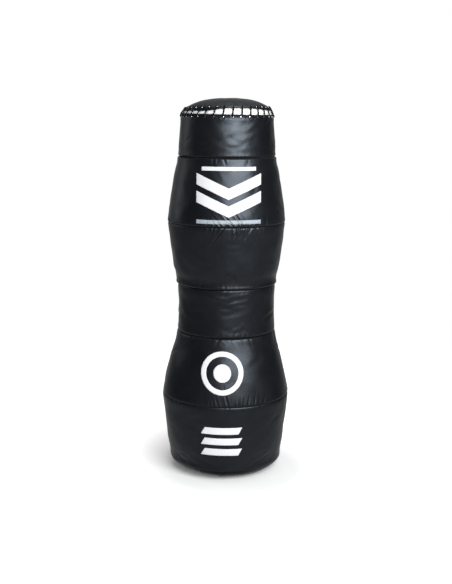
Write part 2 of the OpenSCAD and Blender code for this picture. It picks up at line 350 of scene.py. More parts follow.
def leather(name, dark, light, rough=(0.33, 0.44)):
    """Synthetic leather: pebbled grain, faint long creases, and duller patches."""
    material, tree, shader = new_material(name)
    place = object_place(tree)
    grain = bump(tree, cells(tree, place, 620, feature="SMOOTH_F1"), 0.00016, 0.55)
    creases = bump(tree, noise(tree, place, 95, 7, 0.7), 0.0006, 0.35, Normal=grain)
    feed(tree, shader, Specular_IOR_Level=0.42, Specular_Tint=(0.78, 0.88, 1, 1),
         Base_Color=ramp(tree, noise(tree, place, 7, 5, 0.6), [(0.32, dark), (0.72, light)]),
         Roughness=remap(tree, noise(tree, place, 16, 6, 0.65), *rough),
         Normal=bump(tree, noise(tree, place, 22, 4, 0.5), 0.0028, 0.30, Normal=creases))
    return material


def ink(name, colour):
    """A printed film: smooth, with the leather's grain just showing and faint hairline wear."""
    material, tree, shader = new_material(name)
    place = object_place(tree)
    wear = noise(tree, place, 240, 8, 0.75)
    worn = tuple(0.82 * c for c in colour)
    feed(tree, shader, Base_Color=ramp(tree, wear, [(0.30, worn), (0.42, colour)]),
         Roughness=remap(tree, wear, 0.42, 0.58), Specular_IOR_Level=0.4,
         Normal=bump(tree, noise(tree, place, 480, 3, 0.5), 0.0001, 0.4))
    return material


def metal(name):
    """Nickel-plated eyelets, brushed by handling."""
    material, tree, shader = new_material(name)
    marks = noise(tree, object_place(tree), 900, 6, 0.7)
    feed(tree, shader, Metallic=1, Roughness=remap(tree, marks, 0.16, 0.34),
         Base_Color=ramp(tree, marks, [(0.3, (0.46, 0.47, 0.48)), (0.7, (0.66, 0.67, 0.68))]),
         Normal=bump(tree, marks, 0.00005, 0.3))
    return material


def cloth(name, dark, light, scale, depth):
    """Woven or matted fabric: a crossed weave with fuzz."""
    material, tree, shader = new_material(name)
    place = object_place(tree)
    fuzz = noise(tree, place, scale, 8, 0.7)
    weave = add(tree, "TexWave", Vector=place, Scale=scale * 0.5, Distortion=1.5)
    woven = bump(tree, weave.outputs["Fac"], depth, 0.5)
    feed(tree, shader, Base_Color=ramp(tree, fuzz, [(0.3, dark), (0.7, light)]),
         Roughness=0.85, Sheen_Weight=0.3, Normal=bump(tree, fuzz, depth, 0.5, Normal=woven))
    return material


def foam_material(name, dark, light):
    """Cut foam: open cells."""
    material, tree, shader = new_material(name)
    open_cells = cells(tree, object_place(tree), 420)
    feed(tree, shader, Base_Color=ramp(tree, open_cells, [(0.1, dark), (0.6, light)]),
         Roughness=0.9, Normal=bump(tree, open_cells, 0.0006, 0.6))
    return material


def lace_material(name):
    """A black braided lace. Its braid follows the along attribute: turns along, and across."""
    material, tree, shader = new_material(name)
    along = add(tree, "Attribute", attribute_name="along").outputs["Vector"]
    bands = []
    for lean in (1, -1):
        turn = add(tree, "Mapping", Vector=along, Rotation=(0, 0, lean * math.radians(38)))
        wave = add(tree, "TexWave", Vector=turn.outputs["Vector"], Scale=1, Distortion=0)
        bands.append(wave.outputs["Fac"])
    braid = joined(tree, "MAXIMUM", *bands)
    feed(tree, shader, Roughness=0.8, Specular_IOR_Level=0.1, Normal=bump(tree, braid, 0.0005, 0.7),
         Base_Color=ramp(tree, braid, [(0.2, (0.002, 0.002, 0.0025)), (0.9, (0.006, 0.006, 0.007))]))
    return material


BLACK = leather("black_leather", (0.0028, 0.0031, 0.0038), (0.0052, 0.0058, 0.0070))
EDGE_BLACK = leather("edge_leather", (0.004, 0.005, 0.006), (0.008, 0.009, 0.011), rough=(0.45, 0.6))
WHITE_LEATHER = leather("white_leather", (0.62, 0.62, 0.60), (0.72, 0.72, 0.70), rough=(0.4, 0.55))
WHITE_INK = ink("white_ink", (0.53, 0.54, 0.555))
GREY_INK = ink("grey_ink", (0.25, 0.28, 0.31))
METAL = metal("eyelet_metal")
LACE = lace_material("lace_braid")
TAPE = cloth("seam_tape_weave", (0.02, 0.02, 0.022), (0.05, 0.05, 0.055), 700, 0.0004)
FILLING = cloth("textile_filling", (0.10, 0.085, 0.07), (0.34, 0.30, 0.26), 60, 0.003)
FOAM = foam_material("wrap_foam", (0.16, 0.16, 0.15), (0.38, 0.38, 0.36))


# Attaching pieces

def bend(piece):
    """For a piece on one of the two waist joints, as HIP_BEND or TORSO_BEND says: bakes its placing into
    its mesh, and does not bend it.
    """
    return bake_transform(piece)


def attach(piece, carrier):
    return bend(piece) if isinstance(carrier, tuple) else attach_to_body(piece, carrier)


def surface_normals(points):
    """Normals of a surface of rows and columns, from its whole shape."""
    down = np.gradient(points, axis=0)
    round_it = (np.roll(points, -1, axis=1) - np.roll(points, 1, axis=1)) / 2
    normals = np.cross(round_it, down)
    return normals / np.maximum(np.linalg.norm(normals, axis=2), 1e-12)[..., None]


# Eyelets: where each one is, and the way that it faces

def eyelet_places(node):
    """The middle and outward axis of each eyelet of a ring, told apart by the gaps between them."""
    points = cad_points(node)
    angles = np.arctan2(points[:, 1], points[:, 0])
    order = np.argsort(angles)
    points, angles = points[order], angles[order]
    gaps = np.diff(np.r_[angles, angles[0] + 2 * math.pi])
    first = int(np.argmax(gaps)) + 1
    points, angles = np.roll(points, -first, axis=0), np.unwrap(np.roll(angles, -first))
    cuts = np.flatnonzero(np.diff(angles) > math.radians(2)) + 1
    places, axes = [], []
    for group in np.split(points, cuts):
        centre = (group.min(0) + group.max(0)) / 2
        axis = np.linalg.svd(group - group.mean(0))[2][2]
        axis *= np.sign(axis @ (centre * [1, 1, 0]))
        places.append(centre)
        axes.append(axis)
    return np.array(places), np.array(axes)


collar_at, collar_axis = eyelet_places("collar_eyelets")
lid_at, lid_axis = eyelet_places("lid_eyelets")
EYELETS = len(lid_at)
for node in ("collar_eyelets", "lid_eyelets"):
    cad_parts[node].material_slots[0].material = METAL


def place_radius(place):
    return math.hypot(place[0], place[1])


# Leather bands

SWAY_Z, SWAY_SPREAD = 0.54, 0.11  # the whole dummy sways a little to the right at its waist
EDGE_LEAN = 1.6 * MM  # the collar's edge is this much higher at the left and lower at the right
EDGE_PULL = 3.4 * MM  # how far the lace draws the edge in
EDGE_ZONE = 45 * MM  # the leather below the edge that follows it
HEM = (3 * MM, 8 * MM)  # rows of the seam allowance, by how far in they are
CORNER_EASE = 6 * MM  # how far the base's corner is raised above an ellipse, half way along it


def fullness(angles, heights, radius, from_seam, seed, drags):
    """Lumps of the filling and scattered drag lines, which fade towards the seams."""
    middle = np.clip(from_seam / (26 * MM), 0, 1)
    push = lumps(angles, heights, MM, seed=seed)
    push += lumps(angles, heights, 0.42 * MM, 26, seed + 50, 5, 22, 120)
    return push * (0.2 + 0.8 * middle) + drag_lines(angles, heights, radius, seed + 300, drags) * middle


def own_shape(angles, heights, radius, shape, lines):
    """The sway, the band's own creases, and how far it stands out or in around given heights."""
    push = (1.9 * np.cos(angles) + 0.6) * MM * bell(heights - SWAY_Z, SWAY_SPREAD)
    for line in lines:
        push += crease(angles, heights, radius, *line)
    for z, out, spread in shape:
        push += out * MM * bell(heights - z, spread * MM)
    return push


def closing_seam(angles, radius):
    """The band's own upright seam, at the back."""
    away = np.abs(wrapped(angles - BACK)) * radius
    return seam_roll(away, 1.6 * MM, 4 * MM) + 0.35 * MM * bell(away, 9 * MM)


class Band:
    """One sewn leather band: its line of radius and height, and its uneven surface.

    low_seam and high_seam are chosen puckers, and lines are creases. shape is a height in metres,
    how far out the band is pushed there and how widely, in millimetres.
    """

    def __init__(self, name, line, carrier, seed, low_seam=(), high_seam=(), shape=(), lines=(), drags=34,
                 low_scale=1.0, high_scale=1.0, low_reach=1.0, high_roll=1.0, open_top=False):
        self.name = name
        self.carrier = carrier
        self.line, reach = spaced_line(line, ROW)
        normal = normals_of(self.line)
        angles = COLUMNS[None, :]
        radius, heights = self.line[:, :1], self.line[:, 1:]
        from_low, from_high = reach[:, None], (reach[-1] - reach)[:, None]
        push = fullness(angles, heights, radius, np.minimum(from_low, from_high), seed, drags)
        push += own_shape(angles, heights, radius, shape, lines)
        push += puckers(angles, from_low, radius, seed + 100, low_scale, low_reach, low_seam)
        push += seam_roll(from_low) + seam_roll(from_low, SOFT_DEPTH, SOFT_ROLL)
        if not open_top:
            push += puckers(angles, from_high, radius, seed + 200, high_scale, chosen=high_seam)
            push += high_roll * seam_roll(from_high) + seam_roll(from_high, SOFT_DEPTH, SOFT_ROLL)
        push += closing_seam(angles, radius)
        self.heights = np.maximum(heights + push * normal[:, 1:], 0.0)
        if open_top:
            push -= EDGE_PULL * bell(from_high, 6 * MM)
        self.radii = radius + push * normal[:, :1]
        if open_top:
            self.lean_edge(angles, heights)
        self.points = turned_points(self.radii, self.heights, angles)

    def lean_edge(self, angles, heights):
        """Lifts the open edge on one side, and dimples the leather round each eyelet."""
        share = np.clip((heights - high("head_band") + EDGE_ZONE) / EDGE_ZONE, 0, 1) ** 2
        self.heights -= EDGE_LEAN * np.sin(angles - FRONT) * share
        level = np.interp(heights[:, 0], HEAD_WALL[:, 1], HEAD_WALL[:, 0])[:, None]
        for place in collar_at:
            around = wrapped(angles - angle_of(place)) * place_radius(place)
            near = np.hypot(around, heights - place[2])
            flat = bell(near, 5.5 * MM)
            self.radii = self.radii * (1 - flat) + (level - 0.1 * MM) * flat
            self.radii += 0.5 * MM * bell(near - 9 * MM, 3.5 * MM)

    def radius_at(self, angles, heights):
        """The finished surface's radius at angles and heights, between rows and columns."""
        levels = self.heights.mean(axis=1)
        row = np.clip(np.interp(heights, levels, np.arange(len(levels))), 0, len(levels) - 1.001)
        column = (angles % (2 * math.pi)) / (2 * math.pi) * AROUND
        i, j = row.astype(int), column.astype(int) % AROUND
        u, v = row % 1, column % 1
        k = (j + 1) % AROUND
        table = self.radii
        return ((1 - u) * ((1 - v) * table[i, j] + v * table[i, k])
                + u * ((1 - v) * table[i + 1, j] + v * table[i + 1, k]))

    def with_hems(self, points, bottom=True, top=True):
        """Adds the seam allowance at each sewn edge: rows that turn inwards."""
        below, above = (np.stack([edge - outwards(edge) * depth for depth in HEM])
                        for edge in (points[0], points[-1]))
        return np.concatenate([below[::-1]] * bottom + [points] + [above] * top)

    def build(self):
        """The band's pieces: one, or two where it crosses the middle of the waist."""
        if self.carrier != "split":
            return [self.piece(self.name, self.with_hems(self.points), self.carrier)]
        mid = int(np.argmin(np.abs(self.heights.mean(axis=1) - WAIST_MID)))
        lower = self.with_hems(self.points[: mid + 1], top=False)
        upper = self.with_hems(self.points[mid:], bottom=False)
        whole = surface_normals(self.points)
        return [self.piece(self.name + "_lower", lower, HIP_BEND, whole[: mid + 1], True),
                self.piece(self.name + "_upper", upper, TORSO_BEND, whole[mid:], False)]

    def piece(self, name, points, carrier, normals=None, at_top=True):
        made = new_mesh(name, points.reshape(-1, 3), grid_faces(len(points), AROUND, True), BLACK)
        if normals is not None:
            mesh = made.data
            own = np.array([v.normal for v in mesh.vertices]).reshape(len(points), AROUND, 3)
            edge = -1 if at_top else 0
            own[edge] = normals[edge]
            mesh.normals_split_custom_set_from_vertices([tuple(n) for n in own.reshape(-1, 3)])
        return attach(made, carrier)


def base_corner(wall_r, foot_z, count):
    """Nearly a quarter ellipse, from the foot's edge out and up to the wall."""
    return [(FOOT_R + (wall_r - FOOT_R) * math.sin(a),
             CORNER_H - (CORNER_H - foot_z) * math.cos(a) + CORNER_EASE * math.sin(2 * a))
            for a in np.linspace(0, math.pi / 2, count)]


BASE_WALL = wall_line("base_band", CORNER_H - 0.1 * MM)
HEAD_WALL = np.array(wall_line("head_band"))

BANDS = [
    Band("base_band", base_corner(BASE_WALL[0][0], 0, 24)[:-1] + BASE_WALL, "hips", 1,
         low_scale=2.4, low_reach=3.0, high_scale=0.9, drags=26, high_roll=0.35,
         shape=[(0.15, -0.5, 40), (0.24, 0.5, 14), (0.06, -2.8, 28)],
         lines=[((34, 0.062), 40, 18, 1, 4, 0.9), ((44, 0.075), 36, 24, -1, 4, 0.9),
                ((27, 0.05), 34, 12, 1, 4, 0.8), ((-50, 0.06), 40, -20, 1, 5, 0.8)]),
    Band("hip_band", wall_line("hip_band"), HIP_BEND, 2, drags=12, high_scale=0.6, high_roll=0.5,
         shape=[(0.425, -2.6, 34), (0.31, 1.3, 40)],
         low_seam=[(3, 3.6, 2.8, 38, -0.25), (8, 1.5, 2.6, 18, 0), (12, 2.4, 2.8, 26, 0.15),
                   (16, 1.6, 2.6, 20, 0.1), (20, 2.3, 2.7, 24, 0.2), (26, 2.1, 2.8, 24, 0.2),
                   (31, 1.4, 2.6, 18, 0.2), (36, 1.6, 2.8, 20, 0.3), (-6, 1.8, 3.2, 26, -0.3),
                   (-13, 1.7, 3, 20, -0.2), (-30, 1.4, 3, 18, 0.1)],
         high_seam=[(10, 0.8, 5, 20, 0.4), (20, 0.6, 5, 18, 0.4), (-8, 0.7, 5, 18, -0.3)],
         lines=[((24, 0.44), 50, -16, 1, 8, 0.3)]),
    Band("waist_band", wall_line("waist_band"), "split", 3, drags=16,
         low_scale=0.7, high_scale=0.5, high_roll=0.2,
         shape=[(0.57, -1, 30), (0.617, -2, 14)],
         low_seam=[(8, 0.8, 4, 22, 0.5), (16, 0.7, 4, 20, 0.6)],
         high_seam=[(12, 0.5, 5, 18, -0.3)],
         lines=[((4, 0.603), 110, 2, 0.5, 6, 1), ((9, 0.592), 92, -4, 0.6, 6.5, 1.2),
                ((5, 0.581), 100, 5, 0.5, 6.5, 1.2), ((12, 0.569), 84, 9, -0.6, 7, 1.1),
                ((6, 0.556), 90, -6, 0.6, 7.5, 0.9), ((8, 0.542), 80, 4, 0.5, 8, 0.7),
                ((5, 0.494), 56, 14, 1, 6, 0.5), ((12, 0.484), 60, 10, 1, 6, 0.5)]),
    Band("belly_band", wall_line("belly_band"), TORSO_BEND, 4, drags=16, low_scale=0.8, high_roll=0.6,
         shape=[(0.645, -1.4, 12), (0.622, 3, 6), (0.69, 0.8, 40)],
         high_seam=[(-2, 3.4, 2.9, 32, -0.75), (8, 2, 3, 22, 0.1), (13, 4, 3.2, 44, -0.65),
                    (19, 3, 3, 32, -0.2), (24, 1.9, 3.6, 26, -0.6), (-12, 1.5, 3.2, 20, -0.3),
                    (34, 1.4, 3.5, 20, -0.4)],
         low_seam=[(8, 0.9, 5, 18, 0.2), (-30, 0.9, 5, 18, 0.3)],
         lines=[((12, 0.762), 74, 6, 1, 7, 0.5), ((9, 0.742), 60, 10, 1, 7, 0.45),
                ((-30, 0.7), 90, -24, 1, 9, 0.5), ((26, 0.69), 70, -50, 1, 9, 0.45)]),
    Band("chest_band", wall_line("chest_band"), "torso", 5, high_scale=0.6,
         shape=[(1.003, -2.6, 18), (0.86, 0.9, 40)],
         low_seam=[(-4, 3.6, 2.8, 28, -0.85), (-10, 1.8, 3, 20, -0.5), (7, 4, 2.9, 38, -0.8),
                   (12, 1.5, 3, 18, -0.5), (16, 4, 2.9, 38, -0.6), (21, 2.4, 3, 28, -0.6),
                   (-18, 1.7, 3, 18, -0.3), (30, 1.3, 3.2, 18, -0.3)],
         lines=[((18, 0.985), 60, 40, 1, 7, 0.8), ((-14, 0.99), 60, -14, 1, 7, 0.6),
                ((30, 0.93), 80, 70, 1, 8, 0.7), ((-32, 0.9), 80, 80, 1, 8, 0.6)]),
    Band("head_band", wall_line("head_band"), "torso", 6, drags=18, low_scale=0.6, open_top=True,
         shape=[(1.036, -1.4, 14), (1.142, 0.7, 14)],
         lines=[((11, 1.126), 70, -7, 1.6, 8.5, 0.2), ((16, 1.112), 90, 6, 1.9, 8.5, 0.75),
                ((8, 1.101), 60, -12, 0.8, 8, 0.5), ((17, 1.09), 96, 3, 1.7, 8, 0.7),
                ((4, 1.083), 54, 14, -0.8, 8, 0.45), ((15, 1.069), 84, -7, 1.7, 8, 0.75),
                ((24, 1.058), 54, 12, 0.9, 8, 0.5), ((10, 1.052), 70, 6, 1.4, 7, 0.65),
                ((-6, 1.12), 64, -18, 1, 10, 0.5), ((-2, 1.072), 64, 12, 1, 9, 0.5)]),
]
band_named = {band.name: band for band in BANDS}
for band in BANDS:
    for piece in band.build():
        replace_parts(piece, band.name)


def base_panel(columns=180):
    """The leather disc underneath: it laps up inside the base's corner, and is nearly flat."""
    lap = [(FOOT_R - inset * MM, up * MM) for inset, up in ((6, 7), (1, 5), (0.2, 2), (2, 0.2))]
    line = np.array(lap + [(r, 0.0) for r in np.linspace(FOOT_R - 6 * MM, 4 * MM, 30)])
    angles = even_turn(columns)[None, :]
    radii = line[:, :1] + 0 * angles
    ripple = 0.25 * MM * (1 + np.sin(7 * angles + 40 * radii)) * (radii < FOOT_R - 5 * MM)
    rows = turned_points(radii, line[:, 1:] + ripple, angles)
    points = np.vstack([rows.reshape(-1, 3), [0, 0, rows[-1, :, 2].mean()]])
    faces = grid_faces(len(line), columns, True)
    faces += cap_faces((len(line) - 1) * columns, columns, len(points) - 1)
    piece = new_mesh("base_panel", points, faces, BLACK)
    piece.data.flip_normals()
    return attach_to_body(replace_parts(piece, "base_panel"), "hips")


base_panel()


# Printed marks: thin films laid on the finished leather

def film(node, grids, x_mid, z_mid, material):
    """Lays grids of (x, z) points on the node's band of leather, with their edges turned down."""
    band = band_named[node.split("_")[0] + "_band"]
    points, faces = [], []
    for grid in grids:
        padded = np.pad(grid, ((1, 1), (1, 1), (0, 0)), mode="edge")
        lift = np.pad(np.full(grid.shape[:2], 0.55 * MM), 1, constant_values=-0.5 * MM)
        x, z = padded[..., 0] + x_mid, padded[..., 1] + z_mid
        angle = np.full(x.shape, FRONT)
        for _ in range(4):
            radius = band.radius_at(angle, z) + lift
            angle = FRONT + np.arcsin(np.clip(x / radius, -1, 1))
        made = turned_points(radius, z, angle)
        faces += grid_faces(*x.shape, False, sum(len(p) for p in points))
        points.append(made.reshape(-1, 3))
    piece = new_mesh(node, np.vstack(points), faces, material)
    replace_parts(piece, node)
    return attach(piece, band.carrier)


def patch(corners, step=2.5 * MM):
    """A grid between four corners, given round the outline from the lower left."""
    a, b, c, d = (np.array(p, float) for p in corners)
    columns = max(3, int(max(np.linalg.norm(b - a), np.linalg.norm(c - d)) / step))
    rows = max(3, int(max(np.linalg.norm(d - a), np.linalg.norm(c - b)) / step))
    u = np.linspace(0, 1, columns)[None, :, None]
    v = np.linspace(0, 1, rows)[:, None, None]
    return (1 - v) * ((1 - u) * a + u * b) + v * ((1 - u) * d + u * c)


def ring_patch(inner, outer, pieces=96):
    turn = np.linspace(0, 2 * math.pi, pieces + 1)[None, :]
    radius = np.linspace(outer, inner, 8)[:, None]
    return np.stack([radius * np.cos(turn), radius * np.sin(turn)], -1)


def rectangle(width, height, z):
    x, bottom, top = width / 2, z - height / 2, z + height / 2
    return patch([(-x, bottom), (x, bottom), (x, top), (-x, top)])


def arrowhead(half, top, drop, stroke):
    """The two limbs of a wide V, from its outer corners at top down to its point."""
    left = patch([(-half, top - stroke), (0, top - drop - stroke), (0, top - drop), (-half, top)])
    right = patch([(0, top - drop - stroke), (half, top - stroke), (half, top), (0, top - drop)])
    return [left, right]


def chest_marks():
    """Two arrowheads between two bars."""
    bar_size, bar_mid = size_of("chest_print_bar")
    top, foot = high("chest_print"), low("chest_print_bar")
    tall, half = top - foot, size_of("chest_print")[0].x / 2
    bar_h = 0.07 * tall
    grids = [rectangle(2 * half * 0.84, bar_h, (tall - bar_h) / 2)]
    for share in (0.385, 0.075):
        grids += arrowhead(half, share * tall, 0.26 * tall, 0.20 * tall)
    film("chest_print", grids, bar_mid.x, (top + foot) / 2, WHITE_INK)
    film("chest_print_bar", [rectangle(bar_size.x, bar_h, 0)], bar_mid.x, bar_mid.z, GREY_INK)


def hip_mark():
    """A ring round a dot."""
    size, middle = size_of("hip_print")
    ring_r = size.z / 2
    grids = [ring_patch(ring_r * 0.76, ring_r), ring_patch(ring_r * 0.002, ring_r * 0.42)]
    film("hip_print", grids, middle.x, middle.z, WHITE_INK)


def base_mark(slant=12 * MM, tall=23 * MM):
    """Three slanted bars."""
    size, middle = size_of("base_print")
    half, step = size.x / 2, (size.z - tall) / 2
    bars = [patch([(-half, z - tall / 2), (half - slant, z - tall / 2),
                   (half, z + tall / 2), (slant - half, z + tall / 2)]) for z in (-step, 0, step)]
    film("base_print", bars, middle.x, middle.z, WHITE_INK)


chest_marks()
hip_mark()
base_mark()


# Lid: a domed cover whose rim is gathered and uneven

lid_up = np.linalg.svd(lid_at - lid_at.mean(0))[2][2]
lid_up *= np.sign(lid_up[2])
lid_heights = cad_points("lid_cover") @ lid_up
lid_edge = cad_points("lid_cover")[lid_heights < lid_heights.min() + 0.1 * MM]
LID_RIM = 1.4 * MM  # the edge's height over the level that the dome is counted from
LID_CENTRE = (lid_edge.max(0) + lid_edge.min(0)) / 2 - lid_up * LID_RIM
LID_RISE = lid_heights.max() - LID_CENTRE @ lid_up
LID_FULL, LID_STEEP = 2.8, 0.85  # the dome is full in the middle, and steep at the edge
LID_R = (np.linalg.norm(lid_edge - LID_CENTRE, axis=1).max()
         / (1 - (LID_RIM / LID_RISE) ** (1 / LID_STEEP)) ** (1 / LID_FULL))
LID_TILT = Vector((0, 0, 1)).rotation_difference(Vector(lid_up)).to_matrix()
# How far the rim stands above its level, in millimetres by degrees from the front
RIM_WAVE = [(-180, 0), (-120, 0), (-90, -0.6), (-65, -1.2), (-47, -2.5), (-36, -4.4), (-25, -4.0),
            (-16, -1.4), (-9, 1.2), (-3, 2.4), (5, 2.7), (14, 2.6), (24, 2.2), (34, 1.7), (44, 0.4),
            (60, -2), (85, -2), (120, -1), (180, 0)]


def rim_wave(angles):
    at, value = np.array(RIM_WAVE, float).T
    fine = np.linspace(-180, 180, 720, endpoint=False)
    window = np.hanning(23)
    values = np.interp(fine, at, value)
    smooth = np.convolve(np.r_[values[-11:], values, values[:11]], window / window.sum(), "valid")
    return np.interp(np.degrees(wrapped(angles - FRONT)), fine, smooth, period=360) * MM


def tilted(points):
    return points @ np.array(LID_TILT).T + LID_CENTRE


def dome(radius, up):
    """Radius of the lid's outside at a height, as the CAD model has it."""
    return radius * (1 - np.clip(up / LID_RISE, 0, 1) ** (1 / LID_STEEP)) ** (1 / LID_FULL)


def lid_surface():
    """Rows of the lid from its rim to near the top, in its own frame."""
    angles = COLUMNS
    share = np.r_[np.linspace(0, 0.5, 24), np.linspace(0.52, 0.9, 16),
                  0.93, 0.955, 0.975, 0.99, 0.998, 0.9999]
    line = [(dome(LID_R, up), up) for up in LID_RIM + (LID_RISE - LID_RIM) * share]
    line, reach = spaced_line(line, 3 * MM)
    normal = normals_of(line)
    radius, rise, from_rim = line[:, :1], line[:, 1:], reach[:, None]
    draw = np.random.default_rng(31)
    gathers = 0 * angles * from_rim
    for _ in range(120):
        at = draw.uniform(-math.pi, math.pi)
        size = draw.gamma(2.0, 0.26) * MM
        gathers += pucker(angles, from_rim, LID_R, at, size, draw.uniform(1.8, 3.6) * MM,
                          draw.uniform(14, 40) * MM, draw.normal(0, 0.12))
    soft = lumps(angles, radius, 0.7 * MM, seed=41) + lumps(angles, radius, 0.3 * MM, 20, 42, 4, 14, 140)
    push = gathers * np.clip(from_rim / (5 * MM), 0.3, 1) + soft * np.clip(from_rim / (20 * MM), 0, 1)
    for place in lid_at:
        local = np.array(LID_TILT).T @ (place - LID_CENTRE)
        around = wrapped(angles - angle_of(local)) * LID_R
        near = np.sqrt(around**2 + (rise - local[2]) ** 2 + (radius - place_radius(local)) ** 2)
        push = push * (1 - bell(near, 5.5 * MM)) - 0.15 * MM * bell(near, 5 * MM)
    push -= MM * np.exp(-from_rim / (3 * MM))
    wave = rim_wave(angles)[None, :] * np.clip(1 - from_rim / (13 * MM), 0, 1) ** 1.5
    return turned_points(radius + push * normal[:, :1], rise + push * normal[:, 1:] + wave, angles[None, :])


lid_points = lid_surface()
rim = lid_points[0]
tuck = rim * [0.984, 0.984, 1] + [0, 0, -0.6 * MM]
lid_rows = np.concatenate([[tuck + [0, 0, 4 * MM], tuck], lid_points])
lid_points = np.vstack([lid_rows.reshape(-1, 3), lid_rows[-1].mean(0)])
lid_faces = grid_faces(len(lid_rows), AROUND, True)
lid_faces += cap_faces((len(lid_rows) - 1) * AROUND, AROUND, len(lid_points) - 1)
lid_cover = new_mesh("lid_cover", tilted(lid_points), lid_faces, BLACK)
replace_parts(lid_cover, "lid_cover")
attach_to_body(lid_cover, "lid")


# Tubes along closed lines: edge bindings and the lace

def tube(name, line, outward, across, thick, sides, material):
    """A closed tube of oval section. outward is the way that its flat side faces at each point."""
    count = len(line)
    ahead = np.roll(line, -1, axis=0) - np.roll(line, 1, axis=0)
    ahead /= np.linalg.norm(ahead, axis=1)[:, None]
    side = np.cross(ahead, outward)
    side /= np.linalg.norm(side, axis=1)[:, None]
    out = np.cross(side, ahead)
    turn = even_turn(sides)[None, :, None]
    across = np.broadcast_to(across, count)[:, None, None]
    thick = np.broadcast_to(thick, count)[:, None, None]
    points = (line[:, None, :] + side[:, None, :] * np.cos(turn) * across
              + out[:, None, :] * np.sin(turn) * thick)
    faces = grid_faces(count, sides, True)
    last = (count - 1) * sides
    faces += [[last + k, last + (k + 1) % sides, (k + 1) % sides, k] for k in range(sides)]
    return new_mesh(name, points.reshape(-1, 3), faces, material)


def mark_along(piece, line, sides):
    """Notes how far along and round the tube each point is, which the braid follows."""
    reach = np.r_[0, np.cumsum(np.linalg.norm(np.diff(line, axis=0), axis=1))]
    values = np.zeros((len(line), sides, 3))
    values[..., 0] = reach[:, None] / (1.1 * MM)
    values[..., 1] = even_turn(sides)[None, :] * 1.6
    attribute = piece.data.attributes.new("along", "FLOAT_VECTOR", "POINT")
    attribute.data.foreach_set("vector", values.reshape(-1))


rim_line = tilted(rim + [0, 0, -MM])
lid_binding = tube("lid_binding", rim_line, outwards(rim_line), 1.35 * MM, 1.25 * MM, 10, EDGE_BLACK)
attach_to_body(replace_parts(lid_binding, "lid_binding"), "lid")

head_edge = band_named["head_band"].points[-1]
edge_line = head_edge - outwards(head_edge) * 0.3 * MM
edge_line[:, 2] += high("collar_binding") - high("head_band") - 1.4 * MM
collar_binding = tube("collar_binding", edge_line, outwards(edge_line), 1.5 * MM, 1.35 * MM, 10, EDGE_BLACK)
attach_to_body(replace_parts(collar_binding, "collar_binding"), "torso")

# Radii of the lace where it passes over the lid's edge and over the collar's
RIM_R = np.hypot(rim_line[:, 0], rim_line[:, 1]).mean() + 2.5 * MM
EDGE_R = np.hypot(edge_line[:, 0], edge_line[:, 1]).mean() + 2.7 * MM
LACE_OUT, LACE_IN = 2.9 * MM, 3.4 * MM  # the lace's middle, off an eyelet's middle
LACE_SIDES = 12


def rim_height(angles):
    """Height of the lid's rim in the model's frame, by angle."""
    at = np.arctan2(rim_line[:, 1], rim_line[:, 0])
    return np.interp(angles, at, rim_line[:, 2], period=2 * math.pi)


def strand(i):
    """One strand of the lace over the gap, from inside the lid to inside the collar."""
    lid_side, lid_face = lid_at[i % EYELETS], lid_axis[i % EYELETS]
    collar_side, collar_face = collar_at[i % EYELETS], collar_axis[i % EYELETS]
    first = lid_side + lid_face * LACE_OUT
    last = collar_side + collar_face * LACE_OUT
    edge = last * [1, 1, 0] + (first - last) * [0.28, 0.28, 0]
    edge = edge / np.linalg.norm(edge) * EDGE_R + np.array([0, 0, COLLAR_TOP + MM])
    edge[2] -= EDGE_LEAN * edge[0] / EDGE_R
    over = first * [1, 1, 0] + (last - first) * [0.25, 0.25, 0]
    over = over / np.linalg.norm(over) * RIM_R
    over[2] = float(rim_height(angle_of(over))) + 1.5 * MM
    return [lid_side - lid_face * LACE_IN, lid_side, first, over, edge, last, collar_side,
            collar_side - collar_face * LACE_IN]


def smooth_closed(values, parts=4):
    """A Catmull-Rom curve through a closed list of points."""
    p0, p1, p2, p3 = (np.roll(values, k, axis=0)[:, None, :] for k in (1, 0, -1, -2))
    t = (np.arange(parts) / parts)[None, :, None]
    curve = 0.5 * (2 * p1 + (p2 - p0) * t + (2 * p0 - 5 * p1 + 4 * p2 - p3) * t**2
                   + (3 * p1 - p0 - 3 * p2 + p3) * t**3)
    return curve.reshape(-1, values.shape[1])


# The collar's eyelets are listed from the one nearest to the lid's first
start = int(np.argmin(np.linalg.norm((collar_at - lid_at[0])[:, :2], axis=1)))
collar_at, collar_axis = np.roll(collar_at, -start, axis=0), np.roll(collar_axis, -start, axis=0)

FLAT, ROUND = (2.35 * MM, 1.35 * MM), (1.75 * MM, 1.7 * MM)  # the lace over the gap, and in a hole
SECTIONS = [ROUND, ROUND, FLAT, FLAT, FLAT, FLAT, ROUND, ROUND]
route, section = [], []
for i in range(0, EYELETS, 2):
    down = strand(i)
    up = strand(i + 1)[::-1]
    route += down + [(down[-1] + up[0]) / 2] + up + [(up[-1] + strand(i + 2)[0]) / 2]
    section += SECTIONS + [ROUND] + SECTIONS[::-1] + [ROUND]

lace_line = smooth_closed(np.array(route))
lace_size = smooth_closed(np.array(section))
lace_face = outwards(lace_line) + [0, 0, 0.35]
lace = tube("lace", lace_line, lace_face, lace_size[:, 0], lace_size[:, 1], LACE_SIDES, LACE)
mark_along(lace, lace_line, LACE_SIDES)
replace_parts(lace, "lace")
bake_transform(lace)


# White inner strip, which shows between the collar and the lid

STRIP_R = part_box("inner_strip")[1].x + 0.2 * MM
FOLD_R = 0.14  # the radius that the width of the strip's folds is measured at
UNDER_LID = 3.5 * MM  # how far the strip goes up under the lid's rim


